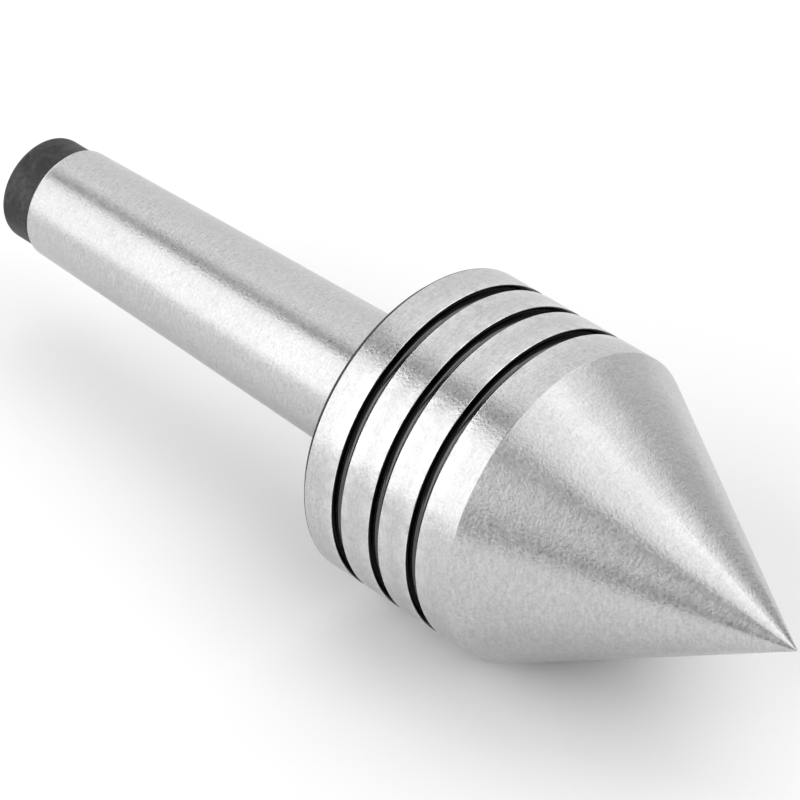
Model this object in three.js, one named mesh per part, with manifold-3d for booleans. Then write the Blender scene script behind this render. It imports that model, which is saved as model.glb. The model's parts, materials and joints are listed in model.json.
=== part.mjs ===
// Live (revolving) centre for a lathe tailstock: a Morse taper No 2 shank that carries a 40 mm head
// with a 60 degree point, on two ball bearings and a thrust bearing.
// Millimetres. X is the turning axis and the point faces +X. The origin is on the axis, at the
// taper's gauge plane. Diameters grow outwards from the shank, through the bearings, to the head.

import * as THREE from "three";
import { mergeVertices } from "three/addons/utils/BufferGeometryUtils.js";
import Module from "manifold-3d";

const wasm = await Module();
wasm.setup();

// ---------------------------------------------------------------- driving dimensions

// Shank, from the gauge plane back to the tail
const gaugeDiameter = 17.78; // Morse taper No 2 at the gauge plane
const taperPerMm = 0.04995; // change of diameter over one millimetre of length
const taperLength = 58.5; // gauge plane to the step at the tail
const tailLength = 5.5; // end left unground behind the taper
const tailStep = 0.43; // step down in radius from the taper to the tail
const taperEdge = 0.3; // chamfer where the ground taper starts
const tailRound = 1.1; // rounding of the tail's outer edge
const centrePilot = 2.5; // centre hole: pilot diameter, mouth diameter, pilot depth
const centreMouth = 5.3;
const centrePilotDepth = 3;
const centreAngle = 60; // included angle of the centre hole's mouth

// Stub that carries the bearings: each seat is one shoulder smaller than the last
const rearShoulder = 1.5;
const thrustShoulder = 1.5;
const frontShoulder = 2;
const circlipLand = 1.5; // stub left between the rear circlip and the thrust shoulder
const stubNose = 1.6; // stub left in front of the front circlip
const stubChamfer = 0.5;

// Head
const headStandOff = 4.4; // gauge plane to the head's rear face
const headWall = 4; // from the rear bearing's seat to the outside
const headCylinder = 23.7; // length of the grooved cylinder
const pointAngle = 60; // included angle of the point
const headEdge = 0.8; // chamfer on the head's rear edge
const pointEdge = 0.6; // rounding between cylinder and point
const grooveCount = 3;
const grooveWidth = 1.5;
const grooveDepth = 1.2;
const groovePitch = 6;
const firstGroove = 5.3; // rear face to the first groove
const pocketRoom = 1.2; // room round the front circlip and in front of the stub
const drillPointAngle = 118; // end of the blind bore

// Threaded rear cover with its felt seal
const coverRecess = 1.1; // the cover sits this far inside the head's rear face
const coverWidth = 4.4;
const coverStep = 1.5; // the cover is this much larger in radius than the rear bearing
const coverEdge = 0.4;
const feltWidth = 2.4;
const feltHeight = 3;
const feltCheek = 1; // cover wall behind the felt's groove
const spannerHoles = 4;
const spannerHoleDiameter = 2.4;
const spannerHoleDepth = 2;

// Bearings. Each bore is the diameter of its seat on the stub.
const rearBearing = { balls: 9, ball: 4.763, raceWall: 1.8685, width: 9 };
const frontBearing = { balls: 7, ball: 3.969, raceWall: 1.5155, width: 7 };
const thrustBearing = { balls: 10, ball: 4.763, rim: 1.1185, washer: 3, relief: 0.4 };
const racewayDepth = 0.2; // depth of a raceway, as a share of the ball's diameter
const raceEdge = 0.4;
const cageWall = 1.5;
const cageLip = 0.8; // cage on each side of a ball, along the axis
const thrustCageWall = 1.8;
const thrustCageLip = 0.7; // cage on each side of a ball, along the radius

// Circlips: thickness, groove depth, width of the ring, diameter of a lug and of its hole
const rearCirclip = { thick: 1, groove: 0.35, band: 2.1, lug: 2.8, hole: 1.7 };
const frontCirclip = { thick: 0.8, groove: 0.2, band: 1.5, lug: 2.1, hole: 1.2 };
const circlipGapAngle = 44;
const circlipLugAngle = 14; // from the end of the ring to the middle of its lug

// Clearances
const fitGap = 0.05; // between pieces that sit still against each other
const runGap = 0.4; // between pieces that turn past each other
const feltGap = 0.1; // between the felt and the turned neck
const ballGap = 0.15; // between a ball and its raceways
const pocketGap = 0.18; // between a ball and its cage

// Facets in one turn, and steps along the arcs of a profile
const turnedFacets = 36;
const ballFacets = 10;
const holeFacets = 12;
const circlipFacets = 12; // for half a turn
const racewaySteps = 4;
const edgeSteps = 3;
const weld = 1e-4; // corners closer than this are one corner

// ---------------------------------------------------------------- sizes that follow from them

const rad = THREE.MathUtils.degToRad;
const deg = THREE.MathUtils.radToDeg;
const taperRadius = (x) => (gaugeDiameter + taperPerMm * x) / 2;

const neckRadius = taperRadius(headStandOff);
const rearSeat = neckRadius - rearShoulder;
const thrustSeat = rearSeat - thrustShoulder;
const frontSeat = thrustSeat - frontShoulder;
const tailRadius = taperRadius(-taperLength) - tailStep;

const rearBearingRadius = rearSeat + 2 * rearBearing.raceWall + rearBearing.ball;
const frontBearingRadius = frontSeat + 2 * frontBearing.raceWall + frontBearing.ball;
const thrustBearingRadius = thrustSeat + 2 * thrustBearing.rim + thrustBearing.ball;
const coverRadius = rearBearingRadius + coverStep;
const headRadius = rearBearingRadius + headWall;

// Half of the space between the thrust washers, and the whole bearing's width
const washerToBall = (0.5 - racewayDepth) * thrustBearing.ball + ballGap;
const thrustWidth = 2 * (thrustBearing.washer + washerToBall);

// The stack of pieces along the axis, from the head's rear face to its point
const coverX = headStandOff + coverRecess;
const rearBearingX = coverX + coverWidth + fitGap;
const rearCirclipX = rearBearingX + rearBearing.width + fitGap;
const thrustX = rearCirclipX + rearCirclip.thick + circlipLand + fitGap;
const frontBearingX = thrustX + thrustWidth + runGap;
const frontCirclipX = frontBearingX + frontBearing.width + fitGap;
const stubEndX = frontCirclipX + frontCirclip.thick + stubNose;
const coneX = headStandOff + headCylinder;
const pointX = coneX + headRadius / Math.tan(rad(pointAngle / 2));

// ---------------------------------------------------------------- shapes

// A point of a turned profile: how far along the axis, and how far out from it.
const at = (x, radius) => new THREE.Vector2(radius, x);

// Points of an arc round (x, radius). Angles are in degrees, from +X towards the outside.
function arc(x, radius, size, from, to, steps) {
  const points = [];
  for (let i = 0; i <= steps; i++) {
    const angle = rad(from + ((to - from) * i) / steps);
    points.push(at(x + size * Math.cos(angle), radius + size * Math.sin(angle)));
  }
  return points;
}

// A profile turned round X. It runs along the outside towards +X and back along the inside, and one
// that doesn't start on the axis is closed into a ring.
function turned(profile) {
  const onAxis = profile[0].x === 0;
  const points = onAxis ? profile : [...profile, profile[0]];
  return new THREE.LatheGeometry(points, turnedFacets).rotateZ(-Math.PI / 2);
}

// A plain ring between two radii.
function ring(x0, x1, inner, outer) {
  return turned([at(x0, outer), at(x1, outer), at(x1, inner), at(x0, inner)]);
}

function solid(geometry) {
  const bare = geometry.clone();
  bare.deleteAttribute("normal");
  bare.deleteAttribute("uv");
  const merged = mergeVertices(bare, weld);
  return new wasm.Manifold(
    new wasm.Mesh({
      numProp: 3,
      vertProperties: merged.attributes.position.array,
      triVerts: new Uint32Array(merged.index.array),
    }),
  );
}

function geometryOf(body) {
  const { vertProperties, triVerts } = body.getMesh();
  return new THREE.BufferGeometry()
    .setAttribute("position", new THREE.BufferAttribute(vertProperties, 3))
    .setIndex(new THREE.BufferAttribute(triVerts, 1));
}

// Takes every cutter out of a geometry.
function cut(geometry, cutters) {
  return geometryOf(cutters.reduce((body, cutter) => body.subtract(solid(cutter)), solid(geometry)));
}

// Calls make with the place and number of each of the pieces that repeat round the axis.
function round(count, x, radius, make) {
  return Array.from({ length: count }, (_, i) => {
    const angle = (2 * Math.PI * i) / count;
    return make(new THREE.Vector3(x, radius * Math.sin(angle), radius * Math.cos(angle)), i + 1);
  });
}

// ---------------------------------------------------------------- materials

const steel = (color, roughness) => new THREE.MeshStandardMaterial({ color, roughness, metalness: 1 });
const materials = {
  ground: steel(0xd0d0ce, 0.32),
  blackened: steel(0x2b2b2d, 0.5),
  bearing: steel(0xdadcdf, 0.12),
  cage: steel(0xb9b6ae, 0.35),
  spring: steel(0x4a4a4d, 0.4),
  felt: new THREE.MeshStandardMaterial({ color: 0x8d877b, roughness: 0.95, metalness: 0 }),
};

function piece(name, geometry, material) {
  const mesh = new THREE.Mesh(geometry, material);
  mesh.name = name;
  return mesh;
}

// ---------------------------------------------------------------- shank

// Stub's profile across a circlip groove.
function circlipGroove(x, seat, size) {
  const floor = seat - size.groove;
  const end = x + size.thick + fitGap;
  return [at(x - fitGap, seat), at(x - fitGap, floor), at(end, floor), at(end, seat)];
}

// Morse taper, tail with a centre hole, and the stub with its bearing seats.
function shank() {
  const tailX = -taperLength - tailLength;
  const mouthDepth = (centreMouth - centrePilot) / 2 / Math.tan(rad(centreAngle / 2));
  return turned([
    at(tailX + mouthDepth + centrePilotDepth, 0),
    at(tailX + mouthDepth + centrePilotDepth, centrePilot / 2),
    at(tailX + mouthDepth, centrePilot / 2),
    at(tailX, centreMouth / 2),
    ...arc(tailX + tailRound, tailRadius - tailRound, tailRound, 180, 90, edgeSteps),
    at(-taperLength, tailRadius),
    at(-taperLength, taperRadius(-taperLength) - taperEdge),
    at(-taperLength + taperEdge, taperRadius(-taperLength + taperEdge)),
    at(headStandOff, neckRadius),
    at(rearBearingX - fitGap, neckRadius),
    at(rearBearingX - fitGap, rearSeat),
    ...circlipGroove(rearCirclipX, rearSeat, rearCirclip),
    at(thrustX - fitGap, rearSeat),
    at(thrustX - fitGap, thrustSeat),
    at(frontBearingX - fitGap, thrustSeat),
    at(frontBearingX - fitGap, frontSeat),
    ...circlipGroove(frontCirclipX, frontSeat, frontCirclip),
    at(stubEndX - stubChamfer, frontSeat),
    at(stubEndX, frontSeat - stubChamfer),
    at(stubEndX, 0),
  ]);
}

// ---------------------------------------------------------------- head

// Stepped blind bore, from its drilled end back to the mouth: room for the front circlip, then the
// seats of the front bearing, the thrust bearing, the rear bearing and the cover.
function headBore() {
  const pocketX = stubEndX + pocketRoom;
  const pocketRadius = circlipReach(frontSeat, frontCirclip) + pocketRoom;
  const seats = [
    { x: frontCirclipX, radius: frontBearingRadius },
    { x: thrustX + thrustWidth + fitGap, radius: thrustBearingRadius },
    { x: rearBearingX + rearBearing.width + fitGap, radius: rearBearingRadius },
    { x: rearBearingX, radius: coverRadius },
  ];
  const profile = [
    at(pocketX + pocketRadius / Math.tan(rad(drillPointAngle / 2)), 0),
    at(pocketX, pocketRadius),
  ];
  for (const { x, radius } of seats) {
    profile.push(at(x, profile.at(-1).x), at(x, radius + fitGap));
  }
  return [...profile, at(headStandOff, coverRadius + fitGap)];
}

// Grooves round the cylinder, from the rear one forwards.
function headGrooves() {
  const floor = headRadius - grooveDepth;
  const points = [];
  for (let i = 0; i < grooveCount; i++) {
    const x = headStandOff + firstGroove + i * groovePitch;
    points.push(at(x, headRadius), at(x, floor));
    points.push(at(x + grooveWidth, floor), at(x + grooveWidth, headRadius));
  }
  return points;
}

// Hollow head: grooved cylinder and solid point.
function coneHead() {
  const lean = pointAngle / 2;
  const edgeX = coneX - pointEdge * Math.tan(rad(lean / 2));
  return turned([
    ...headBore(),
    at(headStandOff, headRadius - headEdge),
    at(headStandOff + headEdge, headRadius),
    ...headGrooves(),
    ...arc(edgeX, headRadius - pointEdge, pointEdge, 90, 90 - lean, edgeSteps),
    at(pointX, 0),
  ]);
}

// Cover that screws into the head's rear with a pin spanner, and holds the felt in a groove.
function rearCover() {
  const bore = neckRadius + runGap;
  const feltX = coverX + feltCheek;
  const feltSeat = neckRadius + feltGap + feltHeight + fitGap;
  const end = coverX + coverWidth;
  const body = turned([
    at(coverX + coverEdge, coverRadius),
    at(end, coverRadius),
    at(end, bore),
    at(feltX + feltWidth + fitGap, bore),
    at(feltX + feltWidth + fitGap, feltSeat),
    at(feltX - fitGap, feltSeat),
    at(feltX - fitGap, bore),
    at(coverX, bore),
    at(coverX, coverRadius - coverEdge),
  ]);
  const holeRadius = spannerHoleDiameter / 2;
  const drill = new THREE.CylinderGeometry(holeRadius, holeRadius, 2 * spannerHoleDepth, holeFacets);
  drill.rotateZ(Math.PI / 2);
  const holeCircle = (feltSeat + coverRadius) / 2;
  const holes = round(spannerHoles, coverX, holeCircle, ({ x, y, z }) => drill.clone().translate(x, y, z));
  return cut(body, holes);
}

// Felt ring that wipes the neck of the shank.
function feltSeal() {
  const x = coverX + feltCheek;
  const inner = neckRadius + feltGap;
  return ring(x, x + feltWidth, inner, inner + feltHeight);
}

// ---------------------------------------------------------------- bearings

// Race between a plain face of radius "back" and a raceway. side is 1 for an inner race, whose
// raceway faces out, and -1 for an outer race.
function race({ ball, width }, back, pitch, side) {
  const track = ball / 2 + ballGap;
  const shoulder = track - racewayDepth * ball;
  const land = pitch - side * shoulder;
  const reach = deg(Math.acos(shoulder / track));
  const profile = [
    at(0, land),
    ...arc(width / 2, pitch, track, -side * (90 + reach), -side * (90 - reach), racewaySteps),
    at(width, land),
    at(width, back + side * raceEdge),
    at(width - raceEdge, back),
    at(raceEdge, back),
    at(0, back + side * raceEdge),
  ];
  return turned(side > 0 ? profile : profile.reverse());
}

// Balls of one bearing, each a piece of its own.
function balls(name, size, x, pitch) {
  const geometry = new THREE.SphereGeometry(size.ball / 2, ballFacets, ballFacets / 2 + 1);
  return round(size.balls, x, pitch, (place, number) => {
    const ball = piece(`${name}_ball_${number}`, geometry, materials.bearing);
    ball.position.copy(place);
    return ball;
  });
}

// Drill for a ball's pocket, long enough to pass through the cage, along Z.
function pocketDrill(size) {
  const radius = size.ball / 2 + pocketGap;
  return new THREE.CylinderGeometry(radius, radius, size.ball, holeFacets).rotateX(Math.PI / 2);
}

// Ring centred on x = 0 with pockets drilled through it along the radius.
function radialCage(size, pitch) {
  const width = size.ball + 2 * cageLip;
  const blank = ring(-width / 2, width / 2, pitch - cageWall / 2, pitch + cageWall / 2);
  const drill = pocketDrill(size).translate(0, 0, pitch);
  const pockets = Array.from({ length: size.balls }, (_, i) =>
    drill.clone().rotateX((2 * Math.PI * i) / size.balls),
  );
  return cut(blank, pockets);
}

// Flat ring centred on x = 0 with pockets drilled through it along the axis.
function flatCage(size, pitch) {
  const reach = size.ball / 2 + thrustCageLip;
  const blank = ring(-thrustCageWall / 2, thrustCageWall / 2, pitch - reach, pitch + reach);
  const drill = pocketDrill(size).rotateY(Math.PI / 2);
  const pockets = round(size.balls, 0, pitch, ({ x, y, z }) => drill.clone().translate(x, y, z));
  return cut(blank, pockets);
}

// Deep groove ball bearing with its rear face at x = 0.
function ballBearing(name, size, seat) {
  const group = new THREE.Group();
  const pitch = seat + size.raceWall + size.ball / 2;
  const outside = seat + 2 * size.raceWall + size.ball;
  group.add(
    piece(`${name}_inner_race`, race(size, seat + fitGap, pitch, 1), materials.bearing),
    piece(`${name}_outer_race`, race(size, outside, pitch, -1), materials.bearing),
    piece(`${name}_cage`, radialCage(size, pitch).translate(size.width / 2, 0, 0), materials.cage),
    ...balls(name, size, size.width / 2, pitch),
  );
  return group;
}

// Thrust washer with its back at x = 0 and its raceway facing +X.
function thrustWasher(inner, outer, pitch) {
  const { ball, washer } = thrustBearing;
  const track = ball / 2 + ballGap;
  const reach = deg(Math.acos(washerToBall / track));
  return turned([
    at(raceEdge, outer),
    at(washer, outer),
    ...arc(washer + washerToBall, pitch, track, 180 - reach, 180 + reach, racewaySteps),
    at(washer, inner),
    at(raceEdge, inner),
    at(0, inner + raceEdge),
    at(0, outer - raceEdge),
  ]);
}

// Thrust ball bearing with the back of its shaft washer at x = 0.
function thrustBearingSet(name) {
  const group = new THREE.Group();
  const size = thrustBearing;
  const pitch = thrustSeat + size.rim + size.ball / 2;
  const middle = thrustWidth / 2;
  const shaftWasher = thrustWasher(thrustSeat + fitGap, thrustBearingRadius - size.relief, pitch);
  const housingWasher = thrustWasher(thrustSeat + size.relief, thrustBearingRadius, pitch);
  housingWasher.rotateY(Math.PI).translate(thrustWidth, 0, 0);
  group.add(
    piece(`${name}_shaft_washer`, shaftWasher, materials.bearing),
    piece(`${name}_housing_washer`, housingWasher, materials.bearing),
    piece(`${name}_cage`, flatCage(size, pitch).translate(middle, 0, 0), materials.cage),
    ...balls(name, size, middle, pitch),
  );
  return group;
}

// ---------------------------------------------------------------- circlips

// Inner radius of a circlip on its seat, and how far out its lugs reach.
const circlipInner = (seat, size) => seat - size.groove + fitGap;
const circlipReach = (seat, size) => circlipInner(seat, size) + size.band / 2 + size.lug;

// Open spring ring with a drilled lug on each end.
function circlip(x, seat, size) {
  const inner = circlipInner(seat, size);
  const end = rad(circlipGapAngle / 2);
  const band = new THREE.Shape();
  band.absarc(0, 0, inner + size.band, end, 2 * Math.PI - end, false);
  band.absarc(0, 0, inner, 2 * Math.PI - end, end, true);
  const extrusion = { depth: size.thick, bevelEnabled: false, curveSegments: circlipFacets };
  let body = solid(new THREE.ExtrudeGeometry(band, extrusion));
  const lugPitch = circlipReach(seat, size) - size.lug / 2;
  const disc = (diameter, height, angle) =>
    solid(
      new THREE.CylinderGeometry(diameter / 2, diameter / 2, height, holeFacets)
        .rotateX(Math.PI / 2)
        .translate(lugPitch * Math.cos(angle), lugPitch * Math.sin(angle), size.thick / 2),
    );
  for (const side of [1, -1]) {
    const angle = side * (end + rad(circlipLugAngle));
    body = body.add(disc(size.lug, size.thick, angle)).subtract(disc(size.hole, 3 * size.thick, angle));
  }
  return geometryOf(body).rotateY(-Math.PI / 2).translate(x + size.thick, 0, 0);
}

// ---------------------------------------------------------------- assembly

const rear = ballBearing("rear_bearing", rearBearing, rearSeat);
rear.position.x = rearBearingX;
const thrust = thrustBearingSet("thrust_bearing");
thrust.position.x = thrustX;
const front = ballBearing("front_bearing", frontBearing, frontSeat);
front.position.x = frontBearingX;

const liveCentre = new THREE.Group();
liveCentre.add(
  piece("shank", shank(), materials.ground),
  piece("cone_head", coneHead(), materials.ground),
  piece("rear_cover", rearCover(), materials.blackened),
  piece("felt_seal", feltSeal(), materials.felt),
  rear,
  piece("rear_circlip", circlip(rearCirclipX, rearSeat, rearCirclip), materials.spring),
  thrust,
  front,
  piece("front_circlip", circlip(frontCirclipX, frontSeat, frontCirclip), materials.spring),
);

export default liveCentre;
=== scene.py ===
import json
import math

import bmesh
import bpy
from mathutils import Matrix, Vector, noise


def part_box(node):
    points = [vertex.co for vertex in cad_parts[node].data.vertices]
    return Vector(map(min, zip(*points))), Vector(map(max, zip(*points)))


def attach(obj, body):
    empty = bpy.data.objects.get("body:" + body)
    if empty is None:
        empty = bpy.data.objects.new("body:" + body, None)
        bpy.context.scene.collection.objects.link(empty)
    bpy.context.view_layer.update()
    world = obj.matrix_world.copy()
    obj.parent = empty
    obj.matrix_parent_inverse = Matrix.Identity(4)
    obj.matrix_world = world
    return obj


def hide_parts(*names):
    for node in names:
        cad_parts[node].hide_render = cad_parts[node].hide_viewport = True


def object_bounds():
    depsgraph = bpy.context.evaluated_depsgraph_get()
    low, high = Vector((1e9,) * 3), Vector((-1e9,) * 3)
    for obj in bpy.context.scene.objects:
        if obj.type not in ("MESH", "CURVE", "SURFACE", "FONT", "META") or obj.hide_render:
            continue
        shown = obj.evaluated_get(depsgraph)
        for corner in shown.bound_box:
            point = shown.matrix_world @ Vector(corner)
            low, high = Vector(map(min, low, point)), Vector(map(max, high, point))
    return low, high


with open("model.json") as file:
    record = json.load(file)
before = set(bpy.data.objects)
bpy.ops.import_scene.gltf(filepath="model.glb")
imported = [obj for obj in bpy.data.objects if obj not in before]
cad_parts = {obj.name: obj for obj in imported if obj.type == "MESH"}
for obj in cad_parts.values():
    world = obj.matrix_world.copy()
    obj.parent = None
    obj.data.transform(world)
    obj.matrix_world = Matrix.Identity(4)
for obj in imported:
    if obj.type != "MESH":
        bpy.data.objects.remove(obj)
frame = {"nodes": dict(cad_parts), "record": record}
cadBox = [list(corner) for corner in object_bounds()]

# Live centre: a tapered shank that stays still, and a pointed head that turns on it.
# The turning axis is X and the point faces +X. Everything is in metres.
mm = 0.001
shop = {"fitGap": 0.05 * mm, "smallEdge": 0.12 * mm}  # play between fitted pieces, broken edge
crispEdge, fineEdge, easedEdge, softEdge, fullEdge = (n * mm for n in (0.05, 0.1, 0.15, 0.2, 0.3))
meshing = {
    "arcStep": 22.5,                # most degrees of an arc in one straight step
    "roundingStep": 0.06 * mm,      # most rounding radius for each step
    "cornerShare": 0.48,            # most of a straight stretch that one rounding takes
    "longestStep": 3 * mm,          # longest straight step along a profile
    "onAxis": 1e-7,                 # radius that counts as a point on the axis
    "weld": 0.001 * mm,             # distance that joins two corners
    "wearAndHighlightFrom": 8, "wearAndHighlightFull": 16,  # degrees of outward bend where edge polish and the painted edge highlight begin and are full
    "around": 192, "fineAround": 256, "cageAround": 144, "drillAround": 48,
    "tipSteps": 6, "trackSteps": 24, "ballCuts": 11,
}
print("frame loaded:", len(frame["nodes"]), "nodes")


def turnedSize(node):
    # rear end, front end, smallest and largest radius of a piece turned round X
    low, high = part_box(node)
    radii = [math.hypot(v.co.y, v.co.z) for v in frame["nodes"][node].data.vertices]
    return low.x, high.x, min(radii), max(radii)


def bodyOf(node):
    return next(b for b, members in frame["record"]["behaviour"]["bodies"].items() if node in members)


shankRear, shankFront, _, neckRadius = turnedSize("shank")
headRear, headFront, _, headRadius = turnedSize("cone_head")
coverRear, coverFront, coverBore, coverRadius = turnedSize("rear_cover")


def addObject(name, data):
    item = bpy.data.objects.new(name, data)
    bpy.context.scene.collection.objects.link(item)
    return item


def meshFrom(bm, name):
    mesh = bpy.data.meshes.new(name)
    bm.to_mesh(mesh)
    bm.free()
    return mesh


def settledMesh(holder):
    # the mesh that an object's modifiers or curve settings make; the object is removed
    graph = bpy.context.evaluated_depsgraph_get()
    mesh = bpy.data.meshes.new_from_object(holder.evaluated_get(graph))
    bpy.data.objects.remove(holder)
    return mesh


def rounded(corners, closed=True):
    # corners are (x, radius, rounding); each rounding becomes an arc of short steps
    outline = []
    for i, (x, radius, rounding) in enumerate(corners):
        here = Vector((x, radius))
        if rounding == 0 or (not closed and i in (0, len(corners) - 1)):
            outline.append(here)
            continue
        before = Vector(corners[i - 1][:2]) - here
        after = Vector(corners[(i + 1) % len(corners)][:2]) - here
        turn = math.pi - before.angle(after)
        share = meshing["cornerShare"]
        reach = min(rounding * math.tan(turn / 2), before.length * share, after.length * share)
        middle = here + (before.normalized() + after.normalized()).normalized() * (
            reach / math.sin(turn / 2))
        first = here + before.normalized() * reach - middle
        last = here + after.normalized() * reach - middle
        start = math.atan2(first.y, first.x)
        sweep = math.remainder(math.atan2(last.y, last.x) - start, 2 * math.pi)
        steps = max(2, math.ceil(abs(sweep) / math.radians(meshing["arcStep"])),
                    math.ceil(rounding / meshing["roundingStep"]))
        for s in range(steps + 1):
            angle = start + sweep * s / steps
            outline.append(middle + first.length * Vector((math.cos(angle), math.sin(angle))))
    return outline


def subdivided(points):
    # adds points so that no stretch is longer than the longest step
    filled = [points[0]]
    for a, b in zip(points, points[1:]):
        pieces = max(1, math.ceil((b - a).length / meshing["longestStep"]))
        filled += [a.lerp(b, i / pieces) for i in range(1, pieces + 1)]
    return filled


def arcPoints(x, radius, size, fromAngle, toAngle, steps):
    # plain points of an arc in the profile, angles in degrees from +X towards the outside
    points = []
    for i in range(steps + 1):
        angle = math.radians(fromAngle + (toAngle - fromAngle) * i / steps)
        points.append((x + size * math.cos(angle), radius + size * math.sin(angle), 0))
    return points


def turnedMesh(name, corners, around=meshing["around"], closed=True, finish=None):
    # turns a profile round X; finish(x, radius) gives a face's material number
    outline = rounded(corners, closed)
    loop = subdivided(outline + outline[:1] if closed else outline)
    outline = loop[:-1] if closed else loop
    lengths = [0.0]
    for a, b in zip(loop, loop[1:]):
        lengths.append(lengths[-1] + (b - a).length)
    bm = bmesh.new()
    layer = bm.loops.layers.uv.new("OFBake")  # once round across, along the profile upwards
    rings = []
    for x, radius in outline:
        count = around if radius > meshing["onAxis"] else 1
        turns = [2 * math.pi * k / around for k in range(count)]
        rings.append([bm.verts.new((x, radius * math.sin(t), radius * math.cos(t))) for t in turns])
    if closed:
        rings.append(rings[0])
    for j, (near, far) in enumerate(zip(rings, rings[1:])):
        middle = (loop[j] + loop[j + 1]) / 2
        for k in range(around):
            spots = [(near, j, k), (near, j, k + 1), (far, j + 1, k + 1), (far, j + 1, k)]
            if len(near) == 1:
                spots.pop(0)
            elif len(far) == 1:
                spots.pop(3)
            face = bm.faces.new([ring[n % len(ring)] for ring, _, n in spots])
            for corner, (_, along, n) in zip(face.loops, spots):
                corner[layer].uv = (n / around, lengths[along] / lengths[-1])
            face.material_index = finish(middle.x, middle.y) if finish else 0
    bmesh.ops.recalc_face_normals(bm, faces=bm.faces)
    return meshFrom(bm, name)


def markEdges(mesh):
    # an "edge" value that grows to 1 on sharp outward corners, which handling polishes first and where a
    # lighter colour also paints a highlight
    least, most = meshing["wearAndHighlightFrom"], meshing["wearAndHighlightFull"]
    bm = bmesh.new()
    bm.from_mesh(mesh)
    layer = bm.verts.layers.float.new("edge")
    for vertex in bm.verts:
        bends = [math.degrees(e.calc_face_angle_signed(0)) for e in vertex.link_edges if e.is_manifold]
        sharpest = max(bends, default=0)
        vertex[layer] = min(1, max(0, (sharpest - least) / (most - least)))
    bm.to_mesh(mesh)
    bm.free()


def newPiece(name, mesh, node, materials, sharpAngle=35):
    # finishes a mesh into a piece that stands for one node and turns with that node's body
    markEdges(mesh)
    mesh.shade_smooth()
    mesh.set_sharp_from_angle(angle=math.radians(sharpAngle))
    for material in materials:
        mesh.materials.append(material)
    piece = addObject(name, mesh)
    weighted = piece.modifiers.new("flat faces stay flat", "WEIGHTED_NORMAL")
    weighted.keep_sharp = True
    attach(piece, bodyOf(node))
    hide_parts(node)


def applied(mesh, kind, settings):
    # the mesh with one modifier applied
    holder = addObject("holder", mesh)
    modifier = holder.modifiers.new(kind.lower(), kind)
    for key, value in settings.items():
        setattr(modifier, key, value)
    return settledMesh(holder)


def drilled(mesh, holes):
    # takes turned cutters, each (corners, move), out of a mesh
    cutter = bmesh.new()
    for corners, move in holes:
        part = turnedMesh("cutter", corners, meshing["drillAround"], closed=False)
        part.transform(move)
        cutter.from_mesh(part)
        bpy.data.meshes.remove(part)
    tool = addObject("cutters", meshFrom(cutter, "cutters"))
    result = applied(mesh, "BOOLEAN", {"object": tool, "operation": "DIFFERENCE", "solver": "EXACT"})
    bpy.data.objects.remove(tool)
    bm = bmesh.new()
    bm.from_mesh(result)
    bmesh.ops.triangulate(bm, faces=[face for face in bm.faces if len(face.verts) > 4])
    bmesh.ops.dissolve_degenerate(bm, edges=bm.edges, dist=meshing["weld"])
    bm.to_mesh(result)
    bm.free()
    return result


def link(tree, source, target):
    tree.links.new(source, target)


def newGroup(name, inputs, outputs):
    group = bpy.data.node_groups.new(name, "ShaderNodeTree")
    for label, kind, value in inputs:
        socket = group.interface.new_socket(label, in_out="INPUT", socket_type=kind)
        if value is not None:
            socket.default_value = value
    for label, kind in outputs:
        group.interface.new_socket(label, in_out="OUTPUT", socket_type=kind)
    return group, group.nodes.new("NodeGroupInput"), group.nodes.new("NodeGroupOutput")


def addNode(tree, kind, settings=None, values=None, links=None):
    # one node with its settings, its socket values and its incoming links
    node = tree.nodes.new(kind)
    for key, value in (settings or {}).items():
        setattr(node, key, value)
    for key, value in (values or {}).items():
        node.inputs[key].default_value = value
    for key, source in (links or {}).items():
        link(tree, source, node.inputs[key])
    return node


def maths(tree, operation, first, second=None, clamp=False):
    node = tree.nodes.new("ShaderNodeMath")
    node.operation = operation
    node.use_clamp = clamp
    for socket, value in zip(node.inputs, (first, second)):
        if isinstance(value, (int, float)):
            socket.default_value = value
        elif value is not None:
            link(tree, value, socket)
    return node.outputs[0]


def placeOver(group, size):
    # object coordinates in steps of a size, so that a noise of scale 1 has spots of about that size
    place = addNode(group, "ShaderNodeTexCoord")
    sizes = addNode(group, "ShaderNodeCombineXYZ", links={axis: size for axis in ("X", "Y", "Z")})
    scaled = addNode(group, "ShaderNodeVectorMath", {"operation": "DIVIDE"},
                     links={0: place.outputs["Object"], 1: sizes.outputs[0]})
    return scaled.outputs[0]


def noiseOver(group, place, values):
    spots = addNode(group, "ShaderNodeTexNoise", None, {"Scale": 1.0, **values}, {"Vector": place})
    return spots.outputs["Fac"]


def stretched(group, value, low, high, curve="LINEAR"):
    # the part of a value between low and high laid over 0 to 1
    node = addNode(group, "ShaderNodeMapRange", {"interpolation_type": curve},
                   {"From Min": low, "From Max": high}, {"Value": value})
    return node.outputs[0]


grainPattern = {
    "slant": 0.73,         # share of the radius added to X, so that end faces get rings as well
    "relief": 0.004 * mm, "noise": {"Detail": 3.0, "Roughness": 0.6}, "contrast": (0.3, 0.7),
}


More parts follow.
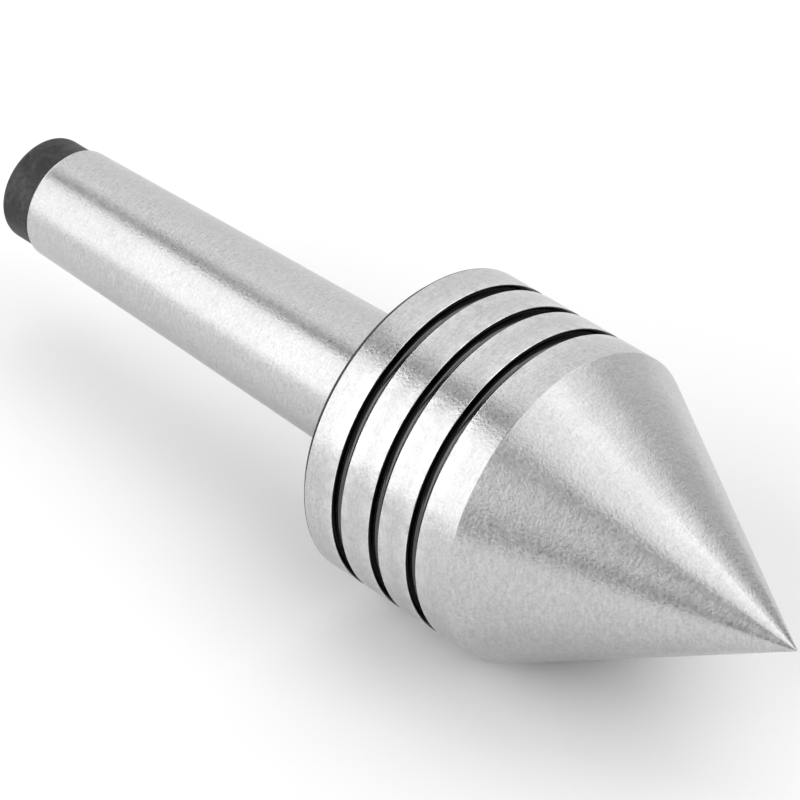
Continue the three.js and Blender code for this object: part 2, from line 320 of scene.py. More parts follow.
def makeTurnedGrain():
    # fine tool or wheel marks that run round X, on cylinders, cones and faces alike
    group, inside, outside = newGroup(
        "turnedGrain",
        [("Pitch", "NodeSocketFloat", 0.2 * mm), ("Mark Length", "NodeSocketFloat", 4 * mm),
         ("Depth", "NodeSocketFloat", 0.2), ("Normal", "NodeSocketVector", None)],
        [("Lines", "NodeSocketFloat"), ("Normal", "NodeSocketVector")])
    place = addNode(group, "ShaderNodeTexCoord")
    parts = addNode(group, "ShaderNodeSeparateXYZ", links={"Vector": place.outputs["Object"]})
    x, y, z = parts.outputs
    squares = maths(group, "ADD", maths(group, "MULTIPLY", y, y), maths(group, "MULTIPLY", z, z))
    radius = maths(group, "SQRT", squares)
    along = maths(group, "ADD", x, maths(group, "MULTIPLY", radius, grainPattern["slant"]))
    across = maths(group, "DIVIDE", along, inside.outputs["Pitch"])
    roundY = maths(group, "DIVIDE", y, inside.outputs["Mark Length"])
    roundZ = maths(group, "DIVIDE", z, inside.outputs["Mark Length"])
    spot = addNode(group, "ShaderNodeCombineXYZ", links={"X": across, "Y": roundY, "Z": roundZ})
    marks = noiseOver(group, spot.outputs[0], grainPattern["noise"])
    bump = addNode(group, "ShaderNodeBump", None, {"Distance": grainPattern["relief"]},
                   {"Height": marks, "Strength": inside.outputs["Depth"],
                    "Normal": inside.outputs["Normal"]})
    link(group, stretched(group, marks, *grainPattern["contrast"]), outside.inputs["Lines"])
    link(group, bump.outputs["Normal"], outside.inputs["Normal"])
    return group


def makeSatinSpeckle():
    # small lighter and darker spots left by grinding grit or blasting
    group, inside, outside = newGroup(
        "satinSpeckle",
        [("Size", "NodeSocketFloat", 0.4 * mm), ("Contrast", "NodeSocketFloat", 1.0)],
        [("Spots", "NodeSocketFloat")])
    place = placeOver(group, inside.outputs["Size"])
    spots = noiseOver(group, place, {"Detail": 2.0, "Roughness": 0.55})
    centred = maths(group, "SUBTRACT", spots, 0.5)
    contrasted = maths(group, "MULTIPLY", centred, inside.outputs["Contrast"])
    link(group, maths(group, "ADD", contrasted, 0.5, True), outside.inputs["Spots"])
    return group


def makeEdgeWearAndHighlight():
    # polished, brighter metal on outward corners, broken up by noise; the brighter colour also stands in
    # for the highlight that edges catch, a painted highlight
    group, inside, outside = newGroup(
        "edgeWearAndHighlight",
        [("Amount", "NodeSocketFloat", 1.0), ("Breakup", "NodeSocketFloat", 1.5 * mm)],
        [("Wear And Highlight", "NodeSocketFloat")])
    edge = addNode(group, "ShaderNodeAttribute", {"attribute_name": "edge"})
    patches = noiseOver(group, placeOver(group, inside.outputs["Breakup"]), {"Detail": 3.0})
    wornAndHighlight = maths(group, "MULTIPLY", edge.outputs["Fac"], stretched(group, patches, 0.35, 0.6))
    link(group, maths(group, "MULTIPLY", wornAndHighlight, inside.outputs["Amount"], True), outside.inputs["Wear And Highlight"])
    return group


def makeHandling():
    # wide, soft patches from wiping, oil and fingers
    group, inside, outside = newGroup(
        "handlingMarks",
        [("Size", "NodeSocketFloat", 12 * mm)],
        [("Patches", "NodeSocketFloat")])
    cloud = noiseOver(group, placeOver(group, inside.outputs["Size"]),
                      {"Detail": 4.0, "Roughness": 0.55, "Distortion": 0.6})
    link(group, stretched(group, cloud, 0.35, 0.65, "SMOOTHSTEP"), outside.inputs["Patches"])
    return group


turnedGrain = makeTurnedGrain()
satinSpeckle = makeSatinSpeckle()
edgeWearAndHighlight = makeEdgeWearAndHighlight()
handlingMarks = makeHandling()
print("shader groups made")


def newMaterial(name):
    material = bpy.data.materials.new(name)
    material.use_nodes = True
    tree = material.node_tree
    return material, tree, tree.nodes["Principled BSDF"]


def placeGroup(tree, group, values):
    return addNode(tree, "ShaderNodeGroup", {"node_tree": group}, values)


def blendColour(tree, factor, first, second):
    node = addNode(tree, "ShaderNodeMix", {"data_type": "RGBA"})
    for key, value in ((0, factor), (6, first), (7, second)):  # a mix node's colour sockets
        if hasattr(value, "is_output"):
            link(tree, value, node.inputs[key])
        else:
            node.inputs[key].default_value = value
    return node.outputs[2]


def spread(tree, value, low, high):
    # a 0 to 1 value laid over the range from low to high
    node = addNode(tree, "ShaderNodeMapRange", None, {"To Min": low, "To Max": high}, {"Value": value})
    return node.outputs[0]


def grey(value):
    return (value, value, value, 1.0)


# how far spots and patches move the roughness, how much smoother worn edges are, share of spots
steelSpread = {"spots": 0.03, "patches": 0.02, "wornGloss": 0.08, "spotShare": 0.5}


def steelMaterial(name, look):
    material, tree, shader = newMaterial(name)
    grain = placeGroup(tree, turnedGrain, {
        "Pitch": look["grainPitch"], "Mark Length": look["markLength"], "Depth": look["grainDepth"]})
    speckle = placeGroup(tree, satinSpeckle, {"Size": look["speckleSize"], "Contrast": look["speckle"]})
    patches = placeGroup(tree, handlingMarks, {"Size": look["patchSize"]})
    wearAndHighlight = placeGroup(tree, edgeWearAndHighlight, {"Amount": look["wearAndHighlight"]})
    lines = blendColour(tree, grain.outputs["Lines"], look["dark"], look["light"])
    spots = blendColour(tree, speckle.outputs["Spots"], look["dark"], look["light"])
    mixed = blendColour(tree, steelSpread["spotShare"], lines, spots)
    stained = blendColour(tree, maths(tree, "MULTIPLY", patches.outputs["Patches"], look["stain"]),
                          mixed, look["dark"])
    colour = blendColour(tree, wearAndHighlight.outputs["Wear And Highlight"], stained, look["wornAndHighlight"])
    link(tree, colour, shader.inputs["Base Color"])
    low, high = look["roughness"]
    rough = spread(tree, grain.outputs["Lines"], low, high)
    for value, key in ((speckle.outputs["Spots"], "spots"), (patches.outputs["Patches"], "patches")):
        rough = maths(tree, "ADD", rough, spread(tree, value, -steelSpread[key], steelSpread[key]))
    smoother = maths(tree, "MULTIPLY", wearAndHighlight.outputs["Wear And Highlight"], steelSpread["wornGloss"])
    rough = maths(tree, "SUBTRACT", rough, smoother, True)
    link(tree, rough, shader.inputs["Roughness"])
    dimples = addNode(tree, "ShaderNodeBump", None, {"Distance": look["dimples"]},
                      {"Height": speckle.outputs["Spots"], "Normal": grain.outputs["Normal"]})
    link(tree, dimples.outputs["Normal"], shader.inputs["Normal"])
    shader.inputs["Specular IOR Level"].default_value = look.get("specular", 0.5)
    shader.inputs["Metallic"].default_value = look["metallic"]
    if look.get("anisotropic"):
        tangent = addNode(tree, "ShaderNodeTangent", {"direction_type": "RADIAL", "axis": "X"})
        link(tree, tangent.outputs[0], shader.inputs["Tangent"])
        shader.inputs["Anisotropic"].default_value = look["anisotropic"]
        shader.inputs["Anisotropic Rotation"].default_value = 0.25  # gloss spreads along X
    return material


# the lighter edge colour of each look is partly polish from handling and partly a painted highlight along
# sharp rims such as the groove edges
groundSteelLook = {
    "dark": grey(0.41), "light": grey(0.64), "wornAndHighlight": grey(0.80), "metallic": 1.0,
    "roughness": (0.29, 0.34), "anisotropic": 0.6, "grainPitch": 0.2 * mm, "markLength": 1.2 * mm,
    "grainDepth": 1.0, "speckleSize": 0.33 * mm, "speckle": 2.6, "dimples": 0.012 * mm,
    "patchSize": 9 * mm, "stain": 0.08, "wearAndHighlight": 1.0,
}
blackOxideLook = {
    "dark": grey(0.035), "light": grey(0.11), "wornAndHighlight": grey(0.17), "metallic": 1.0,
    "roughness": (0.52, 0.64), "grainPitch": 0.35 * mm, "markLength": 2.0 * mm,
    "grainDepth": 0.5, "speckleSize": 0.6 * mm, "speckle": 2.6, "dimples": 0.01 * mm,
    "patchSize": 2.5 * mm, "stain": 0.5, "wearAndHighlight": 0.3,
}
# near-black and matt: the head's black rear, made dark enough to be also the painted shade line where the
# head meets the shank
rearBlackAndShadeLook = {
    "dark": grey(0.010), "light": grey(0.030), "wornAndHighlight": grey(0.06), "metallic": 0.0, "specular": 0.15,
    "roughness": (0.5, 0.65), "grainPitch": 0.3 * mm, "markLength": 5.0 * mm,
    "grainDepth": 0.8, "speckleSize": 0.5 * mm, "speckle": 2.4, "dimples": 0.01 * mm,
    "patchSize": 4 * mm, "stain": 0.4, "wearAndHighlight": 0.3,
}
grooveBlackLook = {
    "dark": grey(0.065), "light": grey(0.11), "wornAndHighlight": grey(0.16), "metallic": 1.0,
    "roughness": (0.08, 0.12), "grainPitch": 0.15 * mm, "markLength": 6.0 * mm,
    "grainDepth": 0.25, "speckleSize": 0.3 * mm, "speckle": 1.4, "dimples": 0.002 * mm,
    "patchSize": 4 * mm, "stain": 0.2, "wearAndHighlight": 0.2,
}
bearingSteelLook = {
    "dark": grey(0.60), "light": grey(0.68), "wornAndHighlight": grey(0.75), "metallic": 1.0,
    "roughness": (0.10, 0.17), "anisotropic": 0.4, "grainPitch": 0.12 * mm, "markLength": 8.0 * mm,
    "grainDepth": 0.08, "speckleSize": 0.2 * mm, "speckle": 1.0, "dimples": 0.0005 * mm,
    "patchSize": 5 * mm, "stain": 0.15, "wearAndHighlight": 0.5,
}
cageSteelLook = {
    "dark": (0.36, 0.34, 0.31, 1.0), "light": (0.52, 0.50, 0.46, 1.0), "wornAndHighlight": (0.66, 0.65, 0.62, 1.0),
    "metallic": 1.0, "roughness": (0.26, 0.40), "grainPitch": 0.5 * mm, "markLength": 1.5 * mm,
    "grainDepth": 0.3, "speckleSize": 0.3 * mm, "speckle": 1.8, "dimples": 0.006 * mm,
    "patchSize": 3 * mm, "stain": 0.4, "wearAndHighlight": 0.9,
}
springSteelLook = {
    "dark": grey(0.03), "light": grey(0.075), "wornAndHighlight": grey(0.32), "metallic": 0.7,
    "roughness": (0.34, 0.48), "grainPitch": 0.4 * mm, "markLength": 1.2 * mm,
    "grainDepth": 0.35, "speckleSize": 0.25 * mm, "speckle": 2.0, "dimples": 0.006 * mm,
    "patchSize": 2 * mm, "stain": 0.4, "wearAndHighlight": 0.8,
}
groundSteel = steelMaterial("groundSteel", groundSteelLook)
blackOxide = steelMaterial("blackOxide", blackOxideLook)
rearBlackAndShade = steelMaterial("rearBlackAndShade", rearBlackAndShadeLook)
grooveBlack = steelMaterial("grooveBlack", grooveBlackLook)
bearingSteel = steelMaterial("bearingSteel", bearingSteelLook)
cageSteel = steelMaterial("cageSteel", cageSteelLook)
springSteel = steelMaterial("springSteel", springSteelLook)

feltLook = {
    "dark": (0.20, 0.17, 0.13, 1.0), "light": (0.46, 0.42, 0.36, 1.0), "fibre": 0.12 * mm,
    "clump": 0.7 * mm, "depth": 0.8, "sheen": 0.35, "sheenRoughness": 0.5, "roughness": (0.85, 0.95),
    "fibreContrast": 2.2, "clumpContrast": 1.6, "fibreShare": 0.6, "clumpShare": 0.4,
    "oilSize": 5 * mm, "oil": 0.35, "relief": 0.08 * mm,
}


def feltMaterial(name, look):
    # matted wool: fine spots over soft clumps, darker where oil has soaked in
    material, tree, shader = newMaterial(name)
    fibres = placeGroup(tree, satinSpeckle, {"Size": look["fibre"], "Contrast": look["fibreContrast"]})
    clumps = placeGroup(tree, satinSpeckle, {"Size": look["clump"], "Contrast": look["clumpContrast"]})
    oil = placeGroup(tree, handlingMarks, {"Size": look["oilSize"]})
    weave = maths(tree, "ADD", maths(tree, "MULTIPLY", fibres.outputs["Spots"], look["fibreShare"]),
                  maths(tree, "MULTIPLY", clumps.outputs["Spots"], look["clumpShare"]))
    base = blendColour(tree, weave, look["dark"], look["light"])
    soaking = maths(tree, "MULTIPLY", oil.outputs["Patches"], look["oil"])
    soaked = blendColour(tree, soaking, base, look["dark"])
    link(tree, soaked, shader.inputs["Base Color"])
    bump = addNode(tree, "ShaderNodeBump", None,
                   {"Distance": look["relief"], "Strength": look["depth"]}, {"Height": weave})
    link(tree, bump.outputs["Normal"], shader.inputs["Normal"])
    link(tree, spread(tree, fibres.outputs["Spots"], *look["roughness"]), shader.inputs["Roughness"])
    shader.inputs["Sheen Weight"].default_value = look["sheen"]
    shader.inputs["Sheen Roughness"].default_value = look["sheenRoughness"]
    return material


feltWool = feltMaterial("feltWool", feltLook)
print("materials made")


shankSizes = {
    "gaugeRadius": 8.89 * mm,      # at x = 0
    "taper": 0.04995 / 2,          # change of radius over length
    "taperEnd": -58.5 * mm,        # where the ground taper meets the tail
    "tailStep": 0.43 * mm, "taperChamfer": 0.3 * mm, "tailRound": 1.1 * mm,
    "centreMouth": 2.65 * mm, "centrePilot": 1.25 * mm, "pilotDepth": 3.0 * mm, "pilotPoint": 0.7 * mm,
    "centreLean": 30,
    "rearSeat": 7.5 * mm, "thrustSeat": 6.0 * mm, "frontSeat": 4.0 * mm,
    "stubChamfer": 0.5 * mm, "shoulderFillet": 0.25 * mm,
    "rearClipGroove": 0.35 * mm, "frontClipGroove": 0.2 * mm,
}


def makeShank(size):
    def radiusAt(x):
        return size["gaugeRadius"] + size["taper"] * x

    edge, gap = shop["smallEdge"], shop["fitGap"]
    tail = radiusAt(size["taperEnd"]) - size["tailStep"]
    chamferEnd = size["taperEnd"] + size["taperChamfer"]
    mouthDepth = (size["centreMouth"] - size["centrePilot"]) / math.tan(math.radians(size["centreLean"]))
    pilotEnd = shankRear + mouthDepth + size["pilotDepth"]
    rearRace, thrustWasher, frontRace = (
        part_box(node)[0].x - gap for node in
        ("rear_bearing_inner_race", "thrust_bearing_shaft_washer", "front_bearing_inner_race"))
    corners = [
        (pilotEnd + size["pilotPoint"], 0, 0),
        (pilotEnd, size["centrePilot"], fineEdge),
        (shankRear + mouthDepth, size["centrePilot"], crispEdge),
        (shankRear, size["centreMouth"], easedEdge),
        (shankRear, tail, size["tailRound"]),
        (size["taperEnd"], tail, easedEdge),
        (size["taperEnd"], radiusAt(size["taperEnd"]) - size["taperChamfer"], crispEdge),
        (chamferEnd, radiusAt(chamferEnd), softEdge),
        (headRear, neckRadius, 0),
        (rearRace, neckRadius, edge),
        (rearRace, size["rearSeat"], size["shoulderFillet"]),
    ]
    clips = (("rear_circlip", size["rearSeat"], size["rearClipGroove"], thrustWasher),
             ("front_circlip", size["frontSeat"], size["frontClipGroove"], None))
    for node, seat, depth, nextX in clips:
        low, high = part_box(node)
        corners += [(low.x - gap, seat, crispEdge), (low.x - gap, seat - depth, crispEdge),
                    (high.x + gap, seat - depth, crispEdge), (high.x + gap, seat, crispEdge)]
        if nextX:
            corners += [(nextX, seat, edge), (nextX, size["thrustSeat"], size["shoulderFillet"]),
                        (frontRace, size["thrustSeat"], edge),
                        (frontRace, size["frontSeat"], size["shoulderFillet"])]
    corners += [(shankFront - size["stubChamfer"], size["frontSeat"], fineEdge),
                (shankFront, size["frontSeat"] - size["stubChamfer"], fineEdge), (shankFront, 0, 0)]

    def unground(x, radius):
        return 1 if x < size["taperEnd"] and radius > size["centreMouth"] else 0

    mesh = turnedMesh("shank_fine", corners, closed=False, finish=unground)
    newPiece("shank_fine", mesh, "shank", [groundSteel, blackOxide])


makeShank(shankSizes)
print("shank made")


headSizes = {
    "rearChamfer": 0.8 * mm, "chamferEdge": 0.06 * mm, "pointLean": 30, "pointRound": 0.35 * mm,
    "tipRound": 0.12 * mm, "grooves": 3, "firstGroove": 5.3 * mm, "groovePitch": 6.0 * mm,
    "grooveWidth": 1.5 * mm, "grooveDepth": 1.2 * mm, "grooveEdge": 0.14 * mm, "grooveFloor": 0.6 * mm,
    "groundDepth": 0.05 * mm,      # grooves are black from this far below the ground surface
    "blackBandAndShade": 0.1 * mm,         # black that grinding left in front of the rear chamfer, which with the chamfer is also painted shade for the dark line where the head meets the shank
    "pocketRadius": 7.9 * mm, "pocketAhead": 1.2 * mm, "drillLean": 59,
}


def makeHead(size):
    gap, edge = shop["fitGap"], shop["smallEdge"]
    lean = math.radians(size["pointLean"])
    pointStart = headFront - headRadius / math.tan(lean)
    pocket = shankFront + size["pocketAhead"]
    corners = [
        (pocket + size["pocketRadius"] / math.tan(math.radians(size["drillLean"])), 0, 0),
        (pocket, size["pocketRadius"], fullEdge),
    ]
    seats = [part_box("front_circlip")[0].x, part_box("thrust_bearing_housing_washer")[1].x + gap,
             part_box("rear_bearing_outer_race")[1].x + gap, coverFront + gap]
    bores = [turnedSize(node)[3] + gap for node in
             ("front_bearing_outer_race", "thrust_bearing_housing_washer", "rear_bearing_outer_race",
              "rear_cover")]
    before = size["pocketRadius"]
    for x, bore in zip(seats, bores):
        corners += [(x, before, edge), (x, bore, softEdge)]
        before = bore
    corners += [
        (headRear, before, easedEdge),
        (headRear, headRadius - size["rearChamfer"], size["chamferEdge"]),
        (headRear + size["rearChamfer"], headRadius, fineEdge),
        (headRear + size["rearChamfer"] + size["blackBandAndShade"], headRadius, 0),
    ]
    floor = headRadius - size["grooveDepth"]
    for i in range(size["grooves"]):
        x = headRear + size["firstGroove"] + i * size["groovePitch"]
        end = x + size["grooveWidth"]
        corners += [(x, headRadius, size["grooveEdge"]), (x, floor, size["grooveFloor"]),
                    (end, floor, size["grooveFloor"]), (end, headRadius, size["grooveEdge"])]
    tip = size["tipRound"]
    tipMiddle = headFront - tip / math.sin(lean)
    corners.append((pointStart, headRadius, size["pointRound"]))
    corners += arcPoints(tipMiddle, 0, tip, 90 - size["pointLean"], 0, meshing["tipSteps"])

    def finish(x, radius):
        # 1 on the black rear, which also paints the shade line along its rear edge, 2 in the grooves, 0
        # on ground or bored steel
        if x < headRear + size["rearChamfer"] + size["blackBandAndShade"]:
            return 1 if radius > before - gap else 0
        depth = headRadius - radius
        return 2 if x < pointStart and size["groundDepth"] < depth < size["grooveDepth"] + gap else 0

    mesh = turnedMesh("cone_head_fine", corners, meshing["fineAround"], False, finish)
    finishes = [groundSteel, rearBlackAndShade, grooveBlack]
    newPiece("cone_head_fine", mesh, "cone_head", finishes)


makeHead(headSizes)
print("head made")


coverSizes = {
    "edge": 0.4 * mm, "holes": 4, "holeRadius": 1.2 * mm, "holeDepth": 2.0 * mm,
    "holeLead": 0.2 * mm, "drillPoint": 0.6, "feltPlay": 0.05 * mm,
}
feltSizes = {"edge": 0.3 * mm, "fuzz": 0.05 * mm, "tuft": 0.5 * mm}


def aroundX(count, x, radius):
    # places of pieces that repeat round X, the first at the top
    spots = []
    for i in range(count):
        angle = 2 * math.pi * i / count
        spots.append(Vector((x, radius * math.sin(angle), radius * math.cos(angle))))
    return spots


def makeCover(size):
    play = size["feltPlay"]
    feltRear, feltFront, _, feltRadius = turnedSize("felt_seal")
    corners = [
        (coverRear, coverRadius, size["edge"]),
        (coverFront, coverRadius, easedEdge),
        (coverFront, coverBore, easedEdge),
        (feltFront + play, coverBore, fineEdge),
        (feltFront + play, feltRadius + play, fineEdge),
        (feltRear - play, feltRadius + play, fineEdge),
        (feltRear - play, coverBore, fineEdge),
        (coverRear, coverBore, softEdge),
    ]
    blank = turnedMesh("rear_cover_blank", corners)
    hole = size["holeRadius"]
    deep = size["holeDepth"]
    drill = [(-deep, 0, 0), (-deep, hole + size["holeLead"] + deep, 0),
             (size["holeLead"], hole, 0), (deep, hole, 0), (deep + size["drillPoint"] * hole, 0, 0)]
    circle = (feltRadius + play + coverRadius) / 2
    spots = aroundX(size["holes"], coverRear, circle)
    mesh = drilled(blank, [(drill, Matrix.Translation(spot)) for spot in spots])
    newPiece("rear_cover_fine", mesh, "rear_cover", [blackOxide])


def ringCorners(rear, front, bore, outer, edge):
    # profile of a plain ring with the same rounding on all four edges
    return [(rear, outer, edge), (front, outer, edge), (front, bore, edge), (rear, bore, edge)]


def makeFelt(size):
    rear, front, bore, outer = turnedSize("felt_seal")
    corners = ringCorners(rear, front, bore, outer, size["edge"])
    mesh = turnedMesh("felt_seal_fine", corners, meshing["fineAround"])
    mesh = applied(mesh, "SUBSURF", {"subdivision_type": "SIMPLE", "levels": 1})
    middle = Vector(((rear + front) / 2, 0, 0))
    for vertex in mesh.vertices:
        radial = Vector((0, vertex.co.y, vertex.co.z)).normalized()
        centre = middle + radial * (bore + outer) / 2
        depth = (noise.noise(vertex.co / size["tuft"]) * 0.5 + 0.5) * size["fuzz"]
        vertex.co += (centre - vertex.co).normalized() * depth
    newPiece("felt_seal_fine", mesh, "felt_seal", [feltWool], 60)


makeCover(coverSizes)
makeFelt(feltSizes)
print("cover and felt made")


bearingSizes = {
    "rear_bearing": {"balls": 9, "ball": 4.763 * mm, "inner": True},
    "front_bearing": {"balls": 7, "ball": 3.969 * mm, "inner": True},
    "thrust_bearing": {"balls": 10, "ball": 4.763 * mm, "inner": False},
    "play": 0.15 * mm, "pocketPlay": 0.18 * mm, "trackDepth": 0.2, "raceEdge": 0.4 * mm,
    "drillReach": 1.2,  # half length of the pocket drill over its radius
}


def raceCorners(rear, front, back, pitch, ball, side):
    # side is 1 for an inner race, whose track faces out, and -1 for an outer race
    track = ball / 2 + bearingSizes["play"]
    shoulder = track - bearingSizes["trackDepth"] * ball
    land = pitch - side * shoulder
    reach = math.degrees(math.acos(shoulder / track))
    middle = (rear + front) / 2
    arc = arcPoints(middle, pitch, track, -side * (90 + reach), -side * (90 - reach),
                    meshing["trackSteps"])
    edge = bearingSizes["raceEdge"]
    return [(rear, land, easedEdge), *arc, (front, land, easedEdge),
            (front, back, edge), (rear, back, edge)]


def makeBall(name, place, ball):
    # a cube of even squares pushed out onto the sphere
    bm = bmesh.new()
    bmesh.ops.create_cube(bm, size=2)
    bmesh.ops.subdivide_edges(bm, edges=bm.edges, cuts=meshing["ballCuts"], use_grid_fill=True)
    for vertex in bm.verts:
        vertex.co = Vector([math.tan(c * math.pi / 4) for c in vertex.co]).normalized() * ball / 2
    mesh = meshFrom(bm, name)
    mesh.transform(Matrix.Translation(place))
    newPiece(name + "_fine", mesh, name, [bearingSteel])


def makeCage(bearing, pitch, ball, radial):
    rear, front, bore, outer = turnedSize(bearing + "_cage")
    corners = ringCorners(rear, front, bore, outer, easedEdge)
    blank = turnedMesh(bearing + "_cage_blank", corners, meshing["cageAround"])
    pocket = ball / 2 + bearingSizes["pocketPlay"]
    reach = pocket * bearingSizes["drillReach"]
    drill = [(-reach, 0, 0), (-reach, pocket, 0), (reach, pocket, 0), (reach, 0, 0)]
    count = bearingSizes[bearing]["balls"]
    moves = []
    for i, spot in enumerate(aroundX(count, (rear + front) / 2, pitch)):
        turn = Matrix.Rotation(-2 * math.pi * i / count, 4, "X") @ Matrix.Rotation(math.pi / 2, 4, "Y")
        moves.append((drill, Matrix.Translation(spot) @ (turn if radial else Matrix.Identity(4))))
    mesh = drilled(blank, moves)
    newPiece(bearing + "_cage_fine", mesh, bearing + "_cage", [cageSteel])


def makeBallSet(bearing, radial):
    ball = bearingSizes[bearing]["ball"]
    low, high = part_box(bearing + "_ball_1")  # the first ball stands at the top
    pitch = (low.z + high.z) / 2
    middle = (low.x + high.x) / 2
    makeCage(bearing, pitch, ball, radial)
    for i, place in enumerate(aroundX(bearingSizes[bearing]["balls"], middle, pitch)):
        makeBall(f"{bearing}_ball_{i + 1}", place, ball)
    return pitch, ball


def makeBallBearing(bearing):
    pitch, ball = makeBallSet(bearing, True)
    for part, side in (("inner", 1), ("outer", -1)):
        node = f"{bearing}_{part}_race"
        rear, front, bore, outer = turnedSize(node)
        corners = raceCorners(rear, front, bore if side > 0 else outer, pitch, ball, side)
        mesh = turnedMesh(node + "_fine", corners)
        newPiece(node + "_fine", mesh, node, [bearingSteel])


def makeThrustBearing(bearing):
    pitch, ball = makeBallSet(bearing, False)
    middle = sum(corner.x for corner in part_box(bearing + "_cage")) / 2
    track = ball / 2 + bearingSizes["play"]
    for part in ("shaft", "housing"):
        node = f"{bearing}_{part}_washer"
        rear, front, bore, outer = turnedSize(node)
        back, face = (rear, front) if part == "shaft" else (front, rear)
        reach = math.degrees(math.acos(abs(middle - face) / track))
        facing = 180 if part == "shaft" else 0
        arc = arcPoints(middle, pitch, track, facing - reach, facing + reach, meshing["trackSteps"])
        ordered = arc if part == "shaft" else arc[::-1]
        corners = [(back, outer, bearingSizes["raceEdge"]), (face, outer, easedEdge), *ordered,
                   (face, bore, easedEdge), (back, bore, bearingSizes["raceEdge"])]
        mesh = turnedMesh(node + "_fine", corners)
        newPiece(node + "_fine", mesh, node, [bearingSteel])


makeBallBearing("rear_bearing")
makeBallBearing("front_bearing")
makeThrustBearing("thrust_bearing")
print("bearings made")


circlipSizes = {
    "rear_circlip": {"inner": 7.2 * mm, "band": 2.1 * mm, "lug": 2.8 * mm, "hole": 1.7 * mm},
    "front_circlip": {"inner": 3.85 * mm, "band": 1.5 * mm, "lug": 2.1 * mm, "hole": 1.2 * mm},
    "gapAngle": 22, "lugAngle": 14, "edge": 0.08 * mm, "edgeSteps": 2,
    "ringSteps": 300, "holeSteps": 32,
}


def makeCirclip(node):
    size = circlipSizes[node]
    low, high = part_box(node)
    outer = size["inner"] + size["band"]
    lugPitch = size["inner"] + (size["band"] + size["lug"]) / 2
    end = math.radians(circlipSizes["gapAngle"])
    lugAt = end + math.radians(circlipSizes["lugAngle"])

    def reachAt(angle):
        # outside of the ring, or of the lug where that reaches further
        off = min(abs(angle - lugAt), abs(angle - (2 * math.pi - lugAt)))
        inside = (size["lug"] / 2) ** 2 - (lugPitch * math.sin(off)) ** 2
        return max(outer, lugPitch * math.cos(off) + math.sqrt(inside)) if inside > 0 else outer

    curve = bpy.data.curves.new(node + "_outline", "CURVE")
    curve.dimensions = "2D"
    curve.fill_mode = "BOTH"
    edge = circlipSizes["edge"]
    curve.extrude = (high.x - low.x) / 2 - edge
    curve.bevel_depth = edge
    curve.bevel_resolution = circlipSizes["edgeSteps"]
    curve.offset = -edge
    steps = circlipSizes["ringSteps"]
    angles = [end + (2 * math.pi - 2 * end) * i / steps for i in range(steps + 1)]
    outline = [(reachAt(a) * math.cos(a), reachAt(a) * math.sin(a)) for a in angles]
    outline += [(size["inner"] * math.cos(a), size["inner"] * math.sin(a)) for a in reversed(angles[::2])]
    holes = []
    hole = size["hole"] / 2
    for side in (1, -1):
        x, y = lugPitch * math.cos(lugAt), side * lugPitch * math.sin(lugAt)
        turns = [2 * math.pi * i / circlipSizes["holeSteps"] for i in range(circlipSizes["holeSteps"])]
        holes.append([(x + hole * math.cos(t), y + hole * math.sin(t)) for t in turns])
    for points in [outline, *holes]:
        spline = curve.splines.new("POLY")
        spline.points.add(len(points) - 1)
        for point, (x, y) in zip(spline.points, points):
            point.co = (x, y, 0, 1)
        spline.use_cyclic_u = True
    mesh = settledMesh(addObject("holder", curve))
    bm = bmesh.new()
    bm.from_mesh(mesh)
    bmesh.ops.remove_doubles(bm, verts=bm.verts, dist=meshing["weld"])
    for vertex in bm.verts:  # the drawing's X, Y and thickness become -Z, Y and X
        x, y, z = vertex.co
        vertex.co = Vector(((low.x + high.x) / 2 + z, y, x))
    bmesh.ops.recalc_face_normals(bm, faces=bm.faces)
    if bm.calc_volume(signed=True) < 0:
        bmesh.ops.reverse_faces(bm, faces=bm.faces)
    bm.to_mesh(mesh)
    bm.free()
    newPiece(node + "_fine", mesh, node, [springSteel])


makeCirclip("rear_circlip")
makeCirclip("front_circlip")
print("circlips made")


studio = {
    "floorGrey": 0.88, "floorReach": 0.85, "floorRoughness": 0.9, "floorSpecular": 0.1,
    "sky": 0.18, "backdrop": 1.0,  # how bright the surroundings are as light, and as seen
    "away": 0.9,                   # distance of the softboxes
}


def makeFloor():
    # pale floor that the head's cylinder rests on
    bm = bmesh.new()
    reach = studio["floorReach"]
    for x, y in ((-reach, -reach), (reach, -reach), (reach, reach), (-reach, reach)):
        bm.verts.new((x, y, cadBox[0][2]))
    bm.faces.new(bm.verts)
    mesh = meshFrom(bm, "floor")
    floor = addObject("floor", mesh)
    material, _, shader = newMaterial("paleFloor")
    shader.inputs["Base Color"].default_value = grey(studio["floorGrey"])
    shader.inputs["Roughness"].default_value = studio["floorRoughness"]
    shader.inputs["Specular IOR Level"].default_value = studio["floorSpecular"]
    mesh.materials.append(material)


def makeSky():
    world = bpy.data.worlds.new("studio")
    bpy.context.scene.world = world
    world.use_nodes = True
    tree = world.node_tree
    background = tree.nodes["Background"]
    background.inputs["Color"].default_value = grey(1.0)
    seen = addNode(tree, "ShaderNodeLightPath")
    strength = spread(tree, seen.outputs["Is Camera Ray"], studio["sky"], studio["backdrop"])
    link(tree, strength, background.inputs["Strength"])


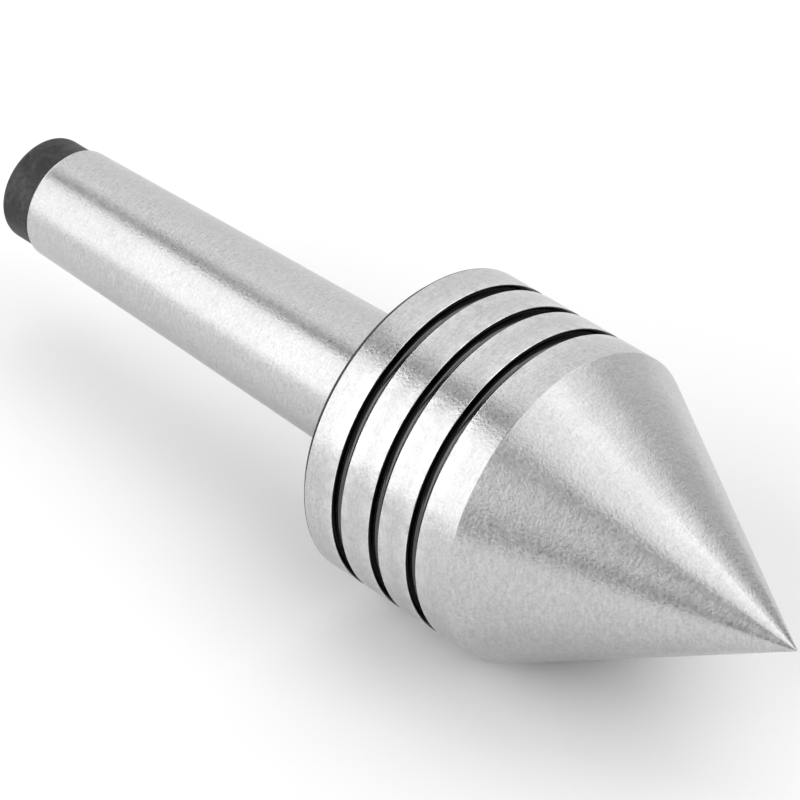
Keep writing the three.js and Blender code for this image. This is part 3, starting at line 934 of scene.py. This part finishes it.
softboxes = {
    # degrees round from +X and up from the floor, the width and height that it fills, brightness
    "longSide": {"around": 248, "above": 28, "fills": (75, 59), "glow": 1.83},
    "farSide": {"around": 120, "above": 42, "fills": (80, 90), "glow": 0.87},
    "overhead": {"around": 75, "above": 72, "fills": (51, 60), "glow": 0.63},
    "pointSide": {"around": 2, "above": 44, "fills": (46, 49), "glow": 1.5},
    "tailSide": {"around": 177, "above": 15, "fills": (30, 23), "glow": 3.39},
    "nearSide": {"around": 298, "above": 31, "fills": (31, 33), "glow": 0.48},
}


def makeSoftbox(name, light):
    lamp = bpy.data.lights.new(name, "AREA")
    lamp.shape = "RECTANGLE"
    away = studio["away"]
    lamp.size, lamp.size_y = (2 * away * math.tan(math.radians(angle / 2)) for angle in light["fills"])
    lamp.energy = light["glow"] * math.pi * lamp.size * lamp.size_y
    around, above = math.radians(light["around"]), math.radians(light["above"])
    direction = Vector((math.cos(around) * math.cos(above), math.sin(around) * math.cos(above),
                        math.sin(above)))
    box = addObject(name, lamp)
    box.location = direction * away
    box.rotation_mode = "QUATERNION"
    box.rotation_quaternion = direction.to_track_quat("Z", "Y")
    box.visible_camera = False


cameraSetup = {
    "azimuth": 45.07, "elevation": 37.82, "distance": 472.0 * mm, "lens": 178.94,
    "aim": (0.3 * mm, 0.5 * mm, 0.4 * mm), "sensor": 36, "nearest": 0.01, "furthest": 20,
}


def makeCamera(setup):
    lens = bpy.data.cameras.new("camera")
    lens.lens = setup["lens"]
    lens.sensor_width = setup["sensor"]
    lens.clip_start = setup["nearest"]
    lens.clip_end = setup["furthest"]
    camera = addObject("camera", lens)
    around, above = math.radians(setup["azimuth"]), math.radians(setup["elevation"])
    back = Vector((math.sin(around) * math.cos(above), -math.cos(around) * math.cos(above),
                   math.sin(above)))
    camera.location = Vector(setup["aim"]) + back * setup["distance"]
    camera.rotation_mode = "QUATERNION"
    camera.rotation_quaternion = (-back).to_track_quat("-Z", "Y")
    bpy.context.scene.camera = camera


makeFloor()
makeSky()
for softboxName, softbox in softboxes.items():
    makeSoftbox(softboxName, softbox)
makeCamera(cameraSetup)
bpy.context.scene.view_settings.view_transform = "Standard"
bpy.context.scene.view_settings.look = "None"
print("studio made")
